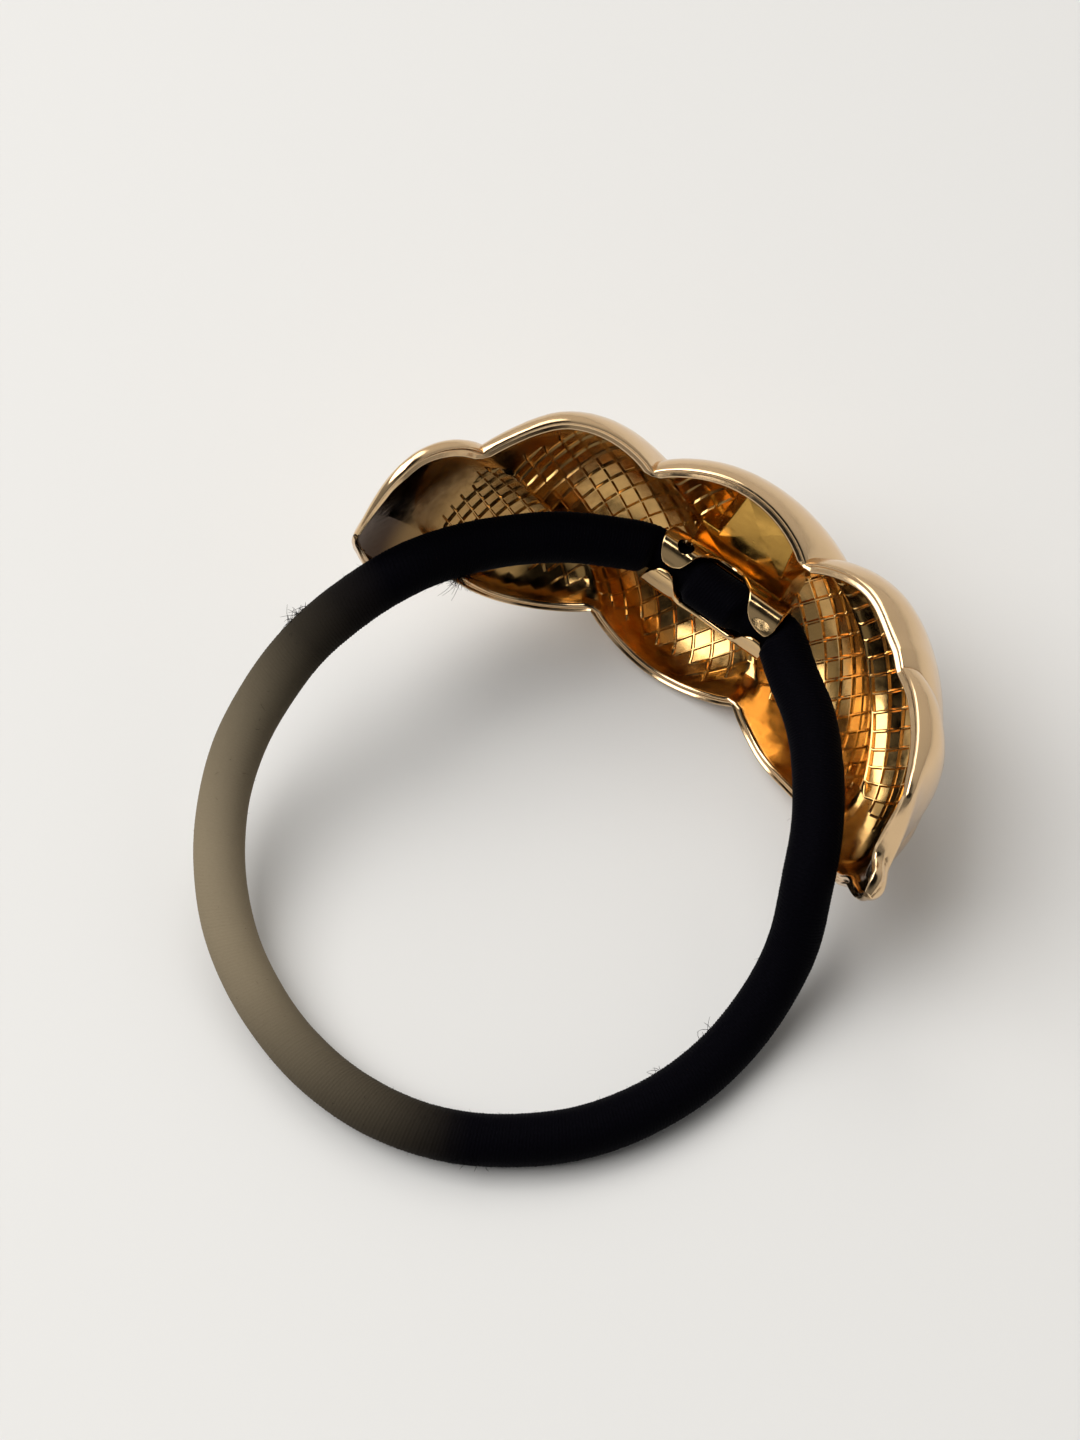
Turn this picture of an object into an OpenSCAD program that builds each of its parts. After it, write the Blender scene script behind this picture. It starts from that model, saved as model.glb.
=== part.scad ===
// Metal cuff hair tie: a lobed C-shaped cuff crimped on an elastic ring, as it lies on a table
// Millimetres, z up, the table is z = 0

/* [Cuff] */
// radius of the arc that runs through the two rims
arc_radius = 25.6; // [22:0.1:30]
// angle from the middle to the left tip
left_end = 76; // [60:1:88]
// angle from the middle to the right tip
right_end = 79; // [60:1:88]
// half of the width between the rims, at the widest lobe
half_width = 11.4; // [8:0.1:15]
// depth of the dome below the rims, at a lobe
lobe_depth = 8.8; // [5:0.1:12]
// part of that depth which a groove keeps
groove_share = 0.76; // [0.4:0.01:1]
// part of the half width that the rim draws in at a groove
rim_scallop = 0.25; // [0:0.01:0.4]
// how far a groove turns along the arc between the middle and a rim, degrees
groove_twist = 18; // [0:1:30]
// wall thickness
wall = 1.0; // [0.8:0.1:2]

/* [Crosshatch] */
// height of the raised ribs inside the hollow
rib_height = 0.3; // [0.1:0.05:0.6]
// part of a cell that half a rib's foot covers
rib_foot = 0.17; // [0.1:0.01:0.3]

/* [Socket] */
// distance from the elastic's axis to the straight lip of the socket
lip_offset = 3.6; // [3.2:0.1:6]
// depth of the lip below the elastic's axis
lip_depth = 2.0; // [1:0.1:3]

/* [Bridge] */
// angle along the arc from the middle to the bridge
bridge_turn = 3; // [-10:0.5:10]
// radius of the arc at the elastic's axis in the bridge
bridge_radius = 25.5; // [23:0.1:27]
// half of the bridge's length along the elastic
bridge_half = 6.2; // [5:0.1:8]
// sheet thickness of the bridge
bridge_wall = 0.5; // [0.4:0.1:1]
// how far the left far lug bends over the elastic, degrees from level
far_lug_bend = 60; // [40:1:70]
// how far the left near lug bends over the elastic, degrees from level
near_lug_bend = 107; // [70:1:108]
// length of the hole below the left far lug
lug_hole = 1.5; // [0.5:0.1:2.5]

/* [Elastic] */
// thickness of the elastic ring
cord_diameter = 4.4; // [3:0.1:6]
// thickness in the bridge's window
squeezed_diameter = 4.2; // [3:0.1:6]
// height that is left of it under the bridge's lugs
crimped_height = 2.8; // [2:0.1:4]

/* [Pose] */
// lean of the cuff's arc from the table, degrees
lean = 26; // [0:1:60]
// slope of the chord from tip to tip, degrees
slope = 9; // [-20:1:20]

/* [Hidden] */

// sections along the arc, a whole lobe holds nine cells
cells = 9;
main_sections = 21;
last_section = 24;
groove_span = 115;
groove_step = 17.2;
// the last sections before the tips, as angles short of the tip
left_tail = [1, 0.5, 0.1];
right_tail = [3.5, 1.8, 0.1];
// width to the upper rim and to the lower rim, and depth, as parts of the largest, by the angle along the arc
upper_share = [[-76, 0.1], [-75, 0.27], [-73, 0.51], [-66, 0.71], [-50, 0.9], [-37, 1.02], [-3, 1.02],
    [30, 1.09], [47, 1.06], [60, 0.94], [68, 0.85], [73, 0.79], [75, 0.57], [76, 0.15], [78, 0.1], [79, 0.05]];
lower_share = [[-76, 0.1], [-75, 0.3], [-72, 0.45], [-60, 0.73], [-44, 0.87], [-30, 0.9], [1, 1.01],
    [27, 0.94], [38, 0.84], [60, 0.71], [70, 0.48], [73, 0.26], [75, 0.14], [78, 0.1], [79, 0.05]];
depth_share = [[-76, 0.1], [-72, 0.14], [-60, 0.22], [-45, 0.38], [-20, 0.79], [0, 0.87], [20, 1.03],
    [45, 0.85], [60, 0.6], [72, 0.17], [76, 0.17], [79, 0.1]];
// rows across the inside and the outside, as angles from the dome's bottom
function row_angle(m) = 7.2 * m + 0.012 * pow(m, 3);
row_reach = 10;
inner_rows = [for (m = [-row_reach:row_reach]) row_angle(m)];
outer_rows = [for (m = [-7:7]) 11 * m];
bead_turns = [0, 45, 90, 135, 180];
rim_half = wall / 2;

// places the cuff's own frame on the table: u along the chord, v out through the middle, w to the upper rim
stand = [-1.54, 5.06, 10.82];

function pos(a) = max(a, 0);
function cross3(a, b) = [a[1] * b[2] - a[2] * b[1], a[2] * b[0] - a[0] * b[2], a[0] * b[1] - a[1] * b[0]];
function unit(a) = a / norm(a);
function mix(a, b, f) = a + (b - a) * f;

// turn along the arc of section i before the twist
function main_turn(i) = groove_span * sin(groove_step * i / cells);
function tail_turn(k, end, tail) =
    mix(k <= 1 ? main_turn(main_sections) : end - tail[floor(k - 0.001) - 1],
        end - tail[ceil(k) - 1], k - floor(k - 0.001));
function section_turn(i) = abs(i) <= main_sections ? main_turn(i)
    : i < 0 ? -tail_turn(-i - main_sections, left_end, left_tail)
    : tail_turn(i - main_sections, right_end, right_tail);
// the twist fades out towards the tips, so that the end sections are flat
function tip_of(a) = a < 0 ? left_end : right_end;
function twist_left(a, t) = let (end = tip_of(a))
    min(1, pos(end - abs(a)) / (a * t > 0 ? end - 65 : 36));
// turn of the point in section i at the row angle f
function turn_at(i, f) = let (a = section_turn(i), t = sin(f)) a - groove_twist * t * twist_left(a, t);
// where the crosshatch begins and ends across the hollow, by the angle along the arc
hatch_foot = [[-50, -60], [-32, -74], [-18, -80], [-8, -62], [0, -67], [12, -78], [18, -56], [26, -62],
    [38, -60], [47, -40], [62, -35]];
hatch_top = [[-50, 40], [-44, 25], [-36, 40], [-30, 78], [-14, 78], [-10, 45], [8, 50], [14, 78], [62, 80]];
// 0 in a groove, 1 on a lobe
function lobe(turn, t) =
    let (k = asin(max(-1, min(1, (turn + groove_twist * t) / groove_span))) / groove_step)
    pow(abs(sin(180 * k)), 0.8);
// width and depth, the last rim groove on the right is slight
function scallop_at(turn, t) = rim_scallop * (1 - 0.65 * (t + 1) / 2 * max(0, min(1, (turn - 35) / 8)));
function half_at(turn, t) =
    half_width * mix(lookup(turn, lower_share), lookup(turn, upper_share), (t + 1) / 2)
    * (1 - scallop_at(turn, t) * (1 - lobe(turn, t)));
function depth_at(turn, t) =
    lobe_depth * lookup(turn, depth_share) * mix(groove_share, 1, lobe(turn, t));
// point in the cuff's own frame
function polar(turn, radius, w) = [radius * sin(turn), radius * cos(turn), w];
function outer_point(i, f) =
    let (t = sin(f), turn = turn_at(i, f))
    polar(turn, arc_radius + depth_at(turn, t) * cos(f), half_at(turn, t) * t);
function inner_point(i, f, up) =
    let (t = sin(f), turn = turn_at(i, f), h = half_at(turn, t), d = depth_at(turn, t),
         thin_w = min(wall, 0.55 * h), thin_d = min(wall, 0.55 * d))
    polar(turn, arc_radius + (d - thin_d - up) * cos(f), (h - thin_w - up) * t);
function bead_point(i, side, b) =
    let (turn = turn_at(i, 90 * side), h = half_at(turn, side), r = min(rim_half, 0.27 * h))
    polar(turn, arc_radius - r * sin(b), side * (h - r + r * cos(b)));

// the socket takes the place of the ribs
function near_socket(i, f) =
    let (p = inner_point(i, f, 0), along = (atan2(p[0], p[1]) - bridge_turn) / 2)
    along > -3.6 && along < 4.9 && p[2] > -3.2 && p[2] < 8.4;
function ribbed(i, f) =
    let (turn = turn_at(i, f))
    turn > -46 + pos(-20 - f) * 0.5 - pos(20 - abs(f + 20)) * 0.2 && turn < 62 + 0.1 * f
    && f > lookup(turn, hatch_foot) && f < lookup(turn, hatch_top) && !near_socket(i, f);

ni = len(inner_rows);
no = len(outer_rows);
nb = len(bead_turns);
loop = no + nb + ni + nb;
total_sections = 2 * last_section + 1;
raised = [for (i = [-last_section:last_section]) [for (m = [0:ni - 1])
    (abs(i) < last_section && ribbed(i, inner_rows[m])) ? 1 : 0]];
function up_at(i, m) = raised[i + last_section][m];
function section_loop(i) = concat(
    [for (f = outer_rows) outer_point(i, f)],
    [for (b = bead_turns) bead_point(i, 1, b)],
    [for (m = [ni - 1:-1:0]) inner_point(i, inner_rows[m], rib_height * up_at(i, m))],
    [for (k = [nb - 1:-1:0]) bead_point(i, -1, bead_turns[k])]);
// place in the point list
function at_loop(i, r) = (i + last_section) * loop + r % loop;
function at_inner(i, m) = at_loop(i, no + nb + (ni - 1 - m));

// a cell of the crosshatch: two sides run along sections, two run across them, one row further each time
function cell_here(i, m) =
    i > -last_section && i < last_section - 1 && m >= 0 && m <= ni - 3
    && up_at(i, m) + up_at(i, m + 1) + up_at(i + 1, m + 1) + up_at(i + 1, m + 2) > 0;
hatch_cells = [for (i = [-last_section + 1:last_section - 2]) for (m = [0:ni - 3])
    if (cell_here(i, m)) [i, m]];
function floor_point(i, m, a, b) =
    inner_point(mix(i, i + 1, b), row_angle(m - row_reach + a + b), 0);
floor_points = [for (c = hatch_cells) each [
    floor_point(c[0], c[1], rib_foot, rib_foot),
    floor_point(c[0], c[1], 1 - rib_foot, rib_foot),
    floor_point(c[0], c[1], 1 - rib_foot, 1 - rib_foot),
    floor_point(c[0], c[1], rib_foot, 1 - rib_foot)]];
shell_points = concat([for (i = [-last_section:last_section]) each section_loop(i)], floor_points);
first_floor = total_sections * loop;

function quad(a, b, c, d) = [[a, b, c], [a, c, d]];
hatch_faces = [for (n = [0:len(hatch_cells) - 1])
    let (i = hatch_cells[n][0], m = hatch_cells[n][1], q = first_floor + 4 * n,
         a = at_inner(i, m), b = at_inner(i, m + 1), c = at_inner(i + 1, m + 2), d = at_inner(i + 1, m + 1))
    each concat(quad(q, q + 1, q + 2, q + 3), quad(a, b, q + 1, q), quad(b, c, q + 2, q + 1),
                quad(c, d, q + 3, q + 2), quad(d, a, q, q + 3))];
plain_inner = [for (i = [-last_section:last_section - 1]) for (m = [0:ni - 2]) each concat(
    cell_here(i, m) ? [] : [[at_inner(i, m), at_inner(i, m + 1), at_inner(i + 1, m + 1)]],
    cell_here(i, m - 1) ? [] : [[at_inner(i, m), at_inner(i + 1, m + 1), at_inner(i + 1, m)]])];
inner_first = no + nb;
inner_last = no + nb + ni - 1;
other_faces = [for (i = [-last_section:last_section - 1]) for (r = [0:loop - 1])
    if (r < inner_first || r >= inner_last)
        each quad(at_loop(i, r), at_loop(i, r + 1), at_loop(i + 1, r + 1), at_loop(i + 1, r))];
end_faces = [[for (r = [0:loop - 1]) at_loop(last_section, r)],
             [for (r = [loop - 1:-1:0]) at_loop(-last_section, r)]];
function flip(fs) = [for (f = fs) [for (k = [len(f) - 1:-1:0]) f[k]]];

module cuff_frame() {
    translate(stand) rotate([-lean, slope, 0]) translate([0, -arc_radius, 0]) children();
}

// x along the elastic, y to the upper rim, z towards the middle of the arc
module bridge_frame() {
    rotate([0, 0, -bridge_turn]) translate([0, bridge_radius, 0]) rotate([90, 0, 0]) children();
}

// the dome without its hollow, a little thinner than the shell
solid_rows = [for (m = [-4:4]) 22 * m];
solid_points = [for (i = [-last_section:last_section]) for (f = solid_rows)
    let (turn = turn_at(i, f), t = sin(f))
    polar(turn, arc_radius + 0.95 * depth_at(turn, t) * cos(f), 0.96 * half_at(turn, t) * t)];
ns = len(solid_rows);
solid_faces = concat(
    [for (i = [0:total_sections - 2]) for (r = [0:ns - 1])
        each quad(i * ns + r, i * ns + ns + r, i * ns + ns + (r + 1) % ns, i * ns + (r + 1) % ns)],
    [[for (r = [0:ns - 1]) r], [for (r = [ns - 1:-1:0]) (total_sections - 1) * ns + r]]);

// part k of the four parts of a four-cornered outline: near left, near right, far right, far left
function outline_part(c, k) = [mix(c[0], c[1], k / 4), mix(c[0], c[1], (k + 1) / 4),
    mix(c[3], c[2], (k + 1) / 4), mix(c[3], c[2], k / 4)];
module thin_plate(outline, z) {
    translate([0, 0, z]) linear_extrude(height = 0.01) polygon(outline);
}
// a block with a level top and flared sides, in four parts along the elastic
module flared_block(top, foot, top_z, foot_z) {
    for (k = [0:3])
        hull() {
            thin_plate(outline_part(top, k), top_z - 0.01);
            thin_plate(outline_part(foot, k), foot_z);
        }
}
bore = squeezed_diameter / 2 + 0.1;
seat_depth = bore + bridge_wall + 0.15;
module socket() {
    intersection() {
        polyhedron(points = solid_points, faces = solid_faces);
        bridge_frame() union() {
            flared_block([[-4.2, -3.3], [5, -3.3], [5, lip_offset], [-4.2, lip_offset]],
                         [[-5.4, -4.5], [6.2, -4.5], [6.2, lip_offset + 0.4], [-5.4, lip_offset + 0.4]],
                         -seat_depth, -9);
            flared_block([[-2.4, lip_offset], [4.2, lip_offset], [3.8, 9.2], [-1.8, 9.2]],
                         [[-4.6, lip_offset], [6.6, lip_offset], [6.4, 10], [-4.4, 10]],
                         -lip_depth, -9);
        }
    }
}

module cuff_shell() {
    color([0.83, 0.64, 0.3]) cuff_frame() union() {
        polyhedron(points = shell_points,
                   faces = concat(hatch_faces, plain_inner, flip(other_faces), flip(end_faces)));
        socket();
    }
}

// the bridge wraps the elastic from the near end angle, under it, to the far end angle
bridge_shift = 0.22;
bridge_stations = [-6.2, -5.95, -5.5, -4.9, -4.2, -3.5, -3.1, -2.7, -1.9, -1, 0, 0.9, 1.8, 2.4, 2.8, 3.4, 4.1,
    4.9, 5.6, 6, 6.2];
// the two edges as angles round the elastic, by the place along the bridge
far_edge = [[-6.2, 8], [-5.95, 25], [-5.5, 46], [-4.9, 60], [-4.2, 60], [-3.5, 50], [-3.1, 34], [-2.7, 14],
    [-1.9, -5], [-1, -25], [0, -32], [0.9, -24], [1.8, -5], [2.4, 8], [2.8, 22], [3.4, 45], [4.1, 61],
    [4.9, 70], [5.6, 72], [6, 60], [6.2, 38]];
near_edge = [[-6.2, 160], [-5.95, 135], [-5.5, 98], [-4.9, 76], [-4.2, 73], [-3.5, 82], [-3.1, 104], [-2.7, 142],
    [-1.9, 160], [-1, 165], [0, 166], [1.8, 163], [2.8, 159], [3.4, 149], [4.1, 108], [4.9, 95], [5.6, 96],
    [6, 108], [6.2, 135]];
function far_end(x) = let (a = lookup(x, far_edge)) a + (a > 0 ? (far_lug_bend / 60 - 1) * a : 0);
function near_end(x) = 180 - (180 - lookup(x, near_edge)) * near_lug_bend / 107;
wrap_steps = 14;
function wrap_angle(x, k) = mix(near_end(x) - 360, far_end(x), k / wrap_steps);
function ease(f) = let (g = max(0, min(1, f))) g * g * (3 - 2 * g);
// the walls stand off the elastic and the lugs press into it
function wrap_radius(a) = bore + 0.2 + bridge_wall / 2 - 0.97 * ease((sin(a) - 0.25) / 0.5);
// the underside is flattened, so that it stands on the seat
function wrap_point(x, k, side) =
    let (a = wrap_angle(x, k), r = wrap_radius(a) + side * bridge_wall / 2,
         flat = bore + (1 + side) * bridge_wall / 2)
    [bridge_shift + bridge_half * x / 6.2, r * cos(a), max(r * sin(a), -flat)];
bridge_points = [for (x = bridge_stations) each concat(
    [for (k = [0:wrap_steps]) wrap_point(x, k, 1)],
    [for (k = [wrap_steps:-1:0]) wrap_point(x, k, -1)])];
bw = 2 * (wrap_steps + 1);
bs = len(bridge_stations);
bridge_faces = concat(
    [for (i = [0:bs - 2]) for (r = [0:bw - 1])
        each quad(i * bw + r, i * bw + (r + 1) % bw, i * bw + bw + (r + 1) % bw, i * bw + bw + r)],
    [for (k = [0:wrap_steps - 1]) each quad(bw - 1 - k, bw - 2 - k, k + 1, k)],
    [for (k = [0:wrap_steps - 1]) each let (e = (bs - 1) * bw)
        quad(e + k, e + k + 1, e + bw - 2 - k, e + bw - 1 - k)]);

module crimp_bridge() {
    color([0.86, 0.68, 0.36]) cuff_frame() bridge_frame() difference() {
        polyhedron(points = bridge_points, faces = flip(bridge_faces));
        // the hole in the far wall, below the left lug
        translate([-3.85, 0, 0]) rotate([8, 0, 0]) rotate([-90, 0, 0])
            scale([lug_hole / 2, 0.66, 1]) cylinder(h = 6, r = 1, $fn = 14);
        // the oval recess in the right far lug
        translate([5.1, 0, 0]) rotate([48, 0, 0]) rotate([-90, 0, 0])
            translate([0, 0, wrap_radius(90) + 0.1]) scale([0.85, 0.38, 1]) cylinder(h = 3, r = 1, $fn = 12);
    }
}

// the ring's route from the bridge to the left, round the front and back, measured from the cuff's middle
hand_route = [
    [-7.6, -1.2, 12.4], [-11, -3.6, 13.8], [-14.4, -7, 15.2], [-17.4, -11.2, 16.8], [-19.5, -15.9, 18.6],
    [-21.8, -20.2, 17.4], [-23.7, -24.5, 15.2], [-24.6, -29, 12.6], [-24.6, -33.4, 10.2],
    [-23.4, -37.8, 7.8], [-21, -42, 5.7], [-17.4, -45.8, 4], [-13, -48.6, 2.9], [-8, -50.6, 2.3],
    [-2.6, -51.6, 2.2], [2.6, -51.4, 2.2], [7.6, -50, 2.2], [12.2, -47.4, 2.2], [16, -44.2, 2.2],
    [19, -40.2, 2.2], [21.2, -35.6, 2.2], [22.4, -30.8, 2.4], [22.9, -26.3, 3.9], [22.7, -22.3, 6],
    [21.6, -18.8, 9.9], [19.8, -14.1, 10.5], [17, -9.2, 10.1], [14, -5.4, 9.9], [10.6, -2.6, 9.6]];

// rotations of the pose, written out for the route's stretch in the bridge
function lean_turn(p) = [p[0], p[1] * cos(lean) + p[2] * sin(lean), -p[1] * sin(lean) + p[2] * cos(lean)];
function slope_turn(p) = [p[0] * cos(slope) + p[2] * sin(slope), p[1], -p[0] * sin(slope) + p[2] * cos(slope)];
function on_table(p) = stand + slope_turn(lean_turn(p - [0, arc_radius, 0]));
function in_bridge(x) = on_table([
    bridge_radius * sin(bridge_turn) + x * cos(bridge_turn),
    bridge_radius * cos(bridge_turn) - x * sin(bridge_turn), 0]);
// places in the bridge and in how far the lugs squeeze the elastic there
squeezed_run = [[7.9, 0], [6.6, 1], [3.6, 1], [2.1, 0], [-1.5, 0], [-2.6, 1], [-6, 1], [-6.9, 0]];
route = concat([for (q = squeezed_run) in_bridge(q[0])], [for (p = hand_route) p + [stand[0], stand[1], 0]]);
nr = len(route);
function cord_half(i) = i < len(squeezed_run) ? squeezed_diameter / 2 : cord_diameter / 2;
// direction from the bridge's seat to the middle of the arc
press = slope_turn(lean_turn([-sin(bridge_turn), -cos(bridge_turn), 0]));
crimp_gap = (squeezed_diameter - crimped_height) / 2;
function pressed(p, i) = let (f = i < len(squeezed_run) ? squeezed_run[i][1] : 0)
    p - press * f * ((p * press) * 2 * crimp_gap / squeezed_diameter + 0.67 * crimp_gap);
cord_sides = 12;
function ring_at(i) =
    let (along = unit(route[(i + 1) % nr] - route[(i + nr - 1) % nr]),
         side = unit(cross3(along, [0, 0, 1])), up = cross3(side, along))
    [for (k = [0:cord_sides - 1]) let (a = 360 * (k + 0.5) / cord_sides)
        route[i] + pressed(cord_half(i) * (side * cos(a) + up * sin(a)), i)];
cord_points = [for (i = [0:nr - 1]) each ring_at(i)];
cord_faces = [for (i = [0:nr - 1]) for (k = [0:cord_sides - 1])
    let (j = (i + 1) % nr, l = (k + 1) % cord_sides)
    each quad(i * cord_sides + k, i * cord_sides + l, j * cord_sides + l, j * cord_sides + k)];

module elastic_cord() {
    color([0.03, 0.03, 0.04]) polyhedron(points = cord_points, faces = cord_faces);
}

cuff_shell();
crimp_bridge();
elastic_cord();
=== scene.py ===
# Metal cuff hair tie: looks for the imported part, in the part's own frame, worked out in millimetres
import math

import bmesh
import bpy
import numpy as np
from mathutils import Matrix, Vector


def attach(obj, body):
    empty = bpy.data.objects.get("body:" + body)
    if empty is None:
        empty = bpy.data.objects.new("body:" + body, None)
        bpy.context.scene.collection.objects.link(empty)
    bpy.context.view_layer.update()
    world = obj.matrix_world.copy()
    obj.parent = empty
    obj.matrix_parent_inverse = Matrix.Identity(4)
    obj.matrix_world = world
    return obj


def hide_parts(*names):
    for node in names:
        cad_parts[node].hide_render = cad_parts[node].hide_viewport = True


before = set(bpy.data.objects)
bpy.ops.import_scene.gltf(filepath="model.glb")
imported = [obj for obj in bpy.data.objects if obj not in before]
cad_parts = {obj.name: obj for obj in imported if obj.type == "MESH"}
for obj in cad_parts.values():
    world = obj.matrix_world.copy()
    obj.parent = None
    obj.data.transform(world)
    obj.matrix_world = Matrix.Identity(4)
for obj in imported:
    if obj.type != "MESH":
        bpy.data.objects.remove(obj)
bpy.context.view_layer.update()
# a millimetre in metres, and a length that is as good as nothing
MM = 0.001
TINY = 1e-12
scene = bpy.context.scene


# Helpers for numbers: angles are in degrees where nothing else is said

def sin_d(a):
    return np.sin(np.radians(a))


def cos_d(a):
    return np.cos(np.radians(a))


def smooth(x):
    """From 0 to 1 with level ends."""
    x = np.clip(x, 0, 1)
    return x * x * (3 - 2 * x)


def smoother(x):
    """The same with softer ends."""
    x = np.clip(x, 0, 1)
    return x ** 3 * (6 * x * x - 15 * x + 10)


def unit(v):
    """Vectors brought to a length of 1."""
    return v / (np.linalg.norm(v, axis=-1, keepdims=True) + TINY)


def at_table(x, table):
    """Value at x between a table's rows of place and value."""
    places, values = zip(*table)
    return np.interp(x, places, values)


def between(x, places, rows):
    """Points at x between rows of three coordinates, which lie at places."""
    return np.stack([np.interp(x, places, rows[:, k]) for k in range(3)], -1)


def softened(values, reach):
    """Rounds the corners of a profile."""
    kernel = np.hanning(2 * reach + 3)[1:-1]
    kernel /= kernel.sum()
    padded = np.concatenate([np.full(reach, values[0]), values, np.full(reach, values[-1])])
    return np.convolve(padded, kernel, "valid")


class SmoothTable:
    """A curve without corners through a table's points, which never overshoots them."""

    def __init__(self, table):
        x, y = np.array(table, float).T
        width = np.diff(x)
        slope = np.diff(y) / width
        before, after = slope[:-1], slope[1:]
        inner = np.where(after * before > 0, 2 * after * before / (after + before + TINY), 0)
        m = np.concatenate([slope[:1], inner, slope[-1:]])
        self.x = np.linspace(x[0], x[-1], 1601)
        k = np.clip(np.searchsorted(x, self.x) - 1, 0, len(width) - 1)
        t = (self.x - x[k]) / width[k]
        self.y = ((1 + 2 * t) * (1 - t) ** 2 * y[k] + t * (1 - t) ** 2 * width[k] * m[k]
                  + t * t * (3 - 2 * t) * y[k + 1] + t * t * (t - 1) * width[k] * m[k + 1])

    def __call__(self, x):
        return np.interp(x, self.x, self.y)


# Helpers for meshes

def grid_faces(number):
    """Four-sided faces between the rows and columns of a table of point numbers."""
    corners = [number[:-1, :-1], number[1:, :-1], number[1:, 1:], number[:-1, 1:]]
    return np.stack(corners, -1).reshape(-1, 4)


def make(name, points, faces, material):
    """A piece of the object from points in millimetres."""
    mesh = bpy.data.meshes.new(name)
    mesh.from_pydata((np.asarray(points) * MM).tolist(), [], faces)
    mesh.validate()
    mesh.materials.append(material)
    piece = bpy.data.objects.new(name, mesh)
    scene.collection.objects.link(piece)
    return piece


def point_values(piece, name, values):
    """A value for each point of the piece, which its material reads."""
    layer = piece.data.attributes.new(name, "FLOAT", "POINT")
    layer.data.foreach_set("value", values.reshape(-1).astype(np.float32))


def turn_outwards(piece, merge=0.0):
    """Joins points within merge of each other, in metres, and turns all faces outwards."""
    bm = bmesh.new()
    bm.from_mesh(piece.data)
    if merge:
        bmesh.ops.remove_doubles(bm, verts=bm.verts, dist=merge)
    bmesh.ops.recalc_face_normals(bm, faces=bm.faces)
    bm.to_mesh(piece.data)
    bm.free()


def shade(piece, sharp):
    """Smooth shading, but for edges that are sharper than the angle."""
    turn_outwards(piece)
    piece.data.shade_smooth()
    piece.data.set_sharp_from_angle(angle=math.radians(sharp))


def apply_modifiers(piece):
    """The evaluated mesh takes the place of the mesh and its modifiers."""
    bpy.context.view_layer.update()
    deps = bpy.context.evaluated_depsgraph_get()
    mesh = bpy.data.meshes.new_from_object(piece.evaluated_get(deps))
    piece.modifiers.clear()
    piece.data = mesh


# Camera: 300 mm away, 64.5 degrees above the table and 32.3 degrees round to the right

CAMERA_PLACE = (61.58, -120.12, 276.6)
CAMERA_AIM = (-7.42, -11.02, 5.8)
CAMERA_LENS = 88.5
CAMERA_SENSOR = 36


def add_camera():
    data = bpy.data.cameras.new("camera")
    data.lens = CAMERA_LENS
    data.sensor_width = CAMERA_SENSOR
    data.clip_start = 0.01
    data.clip_end = 30
    cam = bpy.data.objects.new("camera", data)
    scene.collection.objects.link(cam)
    cam.location = Vector(CAMERA_PLACE) * MM
    aim = Vector(CAMERA_AIM) * MM
    cam.rotation_euler = (aim - cam.location).to_track_quat("-Z", "Y").to_euler()
    scene.camera = cam


# Sizes: those of the part's source, but for the cuff's two ends, its rims and the ribs, which are finer here

# radius of the arc through the two rims, and the angles from its middle to the two tips
ARC_RADIUS = 25.6
LEFT_END = 74.9
RIGHT_END = 81.3
# half the width between the rims and the depth of the hollow, both at the largest lobe
HALF_WIDTH = 11.4
LOBE_DEPTH = 8.8
# part of the depth that a groove keeps, and part of the half width that the rim draws in at a groove
GROOVE_SHARE = 0.76
SCALLOP = 0.25
# how far a groove turns along the arc between the middle and a rim
TWIST = 18.0
# the grooves lie at SPAN times the sine of the multiples of STEP, and the lobes between them
SPAN = 115.0
STEP = 17.2
WALL = 1.0
RIB = 0.21
# the bridge: its place on the arc, the radius at the elastic's axis, half its length, its shift and its sheet
BRIDGE_TURN = 3.0
BRIDGE_RADIUS = 25.5
BRIDGE_HALF = 6.2
BRIDGE_SHIFT = 0.22
BRIDGE_WALL = 0.5
# the elastic: its thickness, the same in the bridge, and the height that is left under the lugs
CORD = 4.4
SQUEEZED = 4.2
CRIMPED = 2.8
# how the cuff lies: lean of its arc, slope from tip to tip, and where the arc's middle stands
LEAN = 26.0
SLOPE = 9.0
STAND = np.array([-1.54, 5.06, 10.82])
# inside of the bridge, and the depth of the seat under it
BORE = SQUEEZED / 2 + 0.1
SEAT = BORE + BRIDGE_WALL + 0.15


def on_table(p):
    """From the cuff's own frame to the part's frame."""
    p = np.asarray(p, float)
    x, y, z = p[..., 0], p[..., 1] - ARC_RADIUS, p[..., 2]
    y, z = y * cos_d(LEAN) + z * sin_d(LEAN), -y * sin_d(LEAN) + z * cos_d(LEAN)
    x, z = x * cos_d(SLOPE) + z * sin_d(SLOPE), -x * sin_d(SLOPE) + z * cos_d(SLOPE)
    return np.stack([x, y, z], -1) + STAND


def in_bridge(p):
    """To the part's frame, with x along the elastic, y to the upper rim and z to the arc's middle."""
    p = np.asarray(p, float)
    x, y, z = p[..., 0], BRIDGE_RADIUS - p[..., 2], p[..., 1]
    c, s = cos_d(BRIDGE_TURN), sin_d(BRIDGE_TURN)
    return on_table(np.stack([x * c + y * s, -x * s + y * c, z], -1))


# Elastic ring: its route is the one of the part's source

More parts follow.
